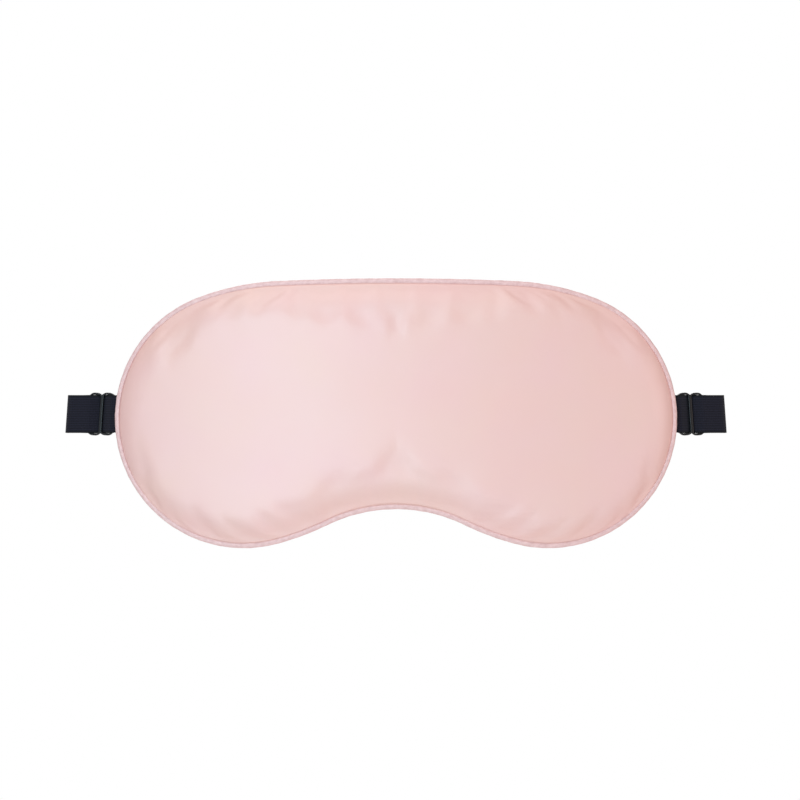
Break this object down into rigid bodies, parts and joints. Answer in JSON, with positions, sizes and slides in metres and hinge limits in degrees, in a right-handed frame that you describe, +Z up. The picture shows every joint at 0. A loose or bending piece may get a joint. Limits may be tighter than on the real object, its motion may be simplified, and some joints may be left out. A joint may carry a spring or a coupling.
{
  "type": "sleep eye mask",
  "caption": "Padded satin sleep mask with a piped edge, bowed to the face, on an elastic head strap threaded through a black three-bar slider at each side.",
  "frame": {"origin": "middle of the back face, the face that lies on the wearer, at the height of the strap", "axes": "+X to the viewer's right as the mask is seen from the front, +Y out of the back face towards the wearer's head, +Z up"},
  "size_m": [0.2502, 0.1028, 0.1014],
  "materials": {
    "satin": "smooth pale pink satin with a soft sheen",
    "piping_satin": "bias-cut pale pink satin, gathered slightly by the seam",
    "cotton_cord": "soft undyed cotton cord",
    "wadding": "soft white fibre filling",
    "blackout_cloth": "matt black close-woven lining",
    "elastic": "near-black woven elastic, fine ribs",
    "slider_plastic": "moulded black nylon, semi-gloss",
    "thread": "pink polyester sewing thread"
  },
  "bodies": {
    "mask": {"front_cover": "satin", "back_cover": "satin", "front_wadding": "wadding", "back_wadding": "wadding", "blackout_lining": "blackout_cloth", "piping_cover": "piping_satin", "piping_cord": "cotton_cord", "left_strap_end": "elastic", "right_strap_end": "elastic", "left_bartack": "thread", "right_bartack": "thread", "left_strap_side": "elastic", "right_strap_side": "elastic"},
    "left_slider": {"left_slider": "slider_plastic", "left_strap_weave": "elastic"},
    "right_slider": {"right_slider": "slider_plastic", "right_strap_weave": "elastic"},
    "strap_back": {"strap_back": "elastic"}
  },
  "joints": [
    {"name": "left_slider_adjust", "type": "slide", "parent": "mask", "child": "left_slider", "axis": [-0.9457, 0.325, 0], "range_m": [0, 0.0045], "deforming": ["left_strap_end"]},
    {"name": "right_slider_adjust", "type": "slide", "parent": "mask", "child": "right_slider", "axis": [0.9457, 0.325, 0], "range_m": [0, 0.0045], "deforming": ["right_strap_end"]},
    {"name": "strap_stretch", "type": "slide", "parent": "mask", "child": "strap_back", "axis": [0, 1, 0], "range_m": [0, 0.05], "stiffness_N_per_m": 60, "deforming": ["left_strap_side", "right_strap_side"]}
  ]
}
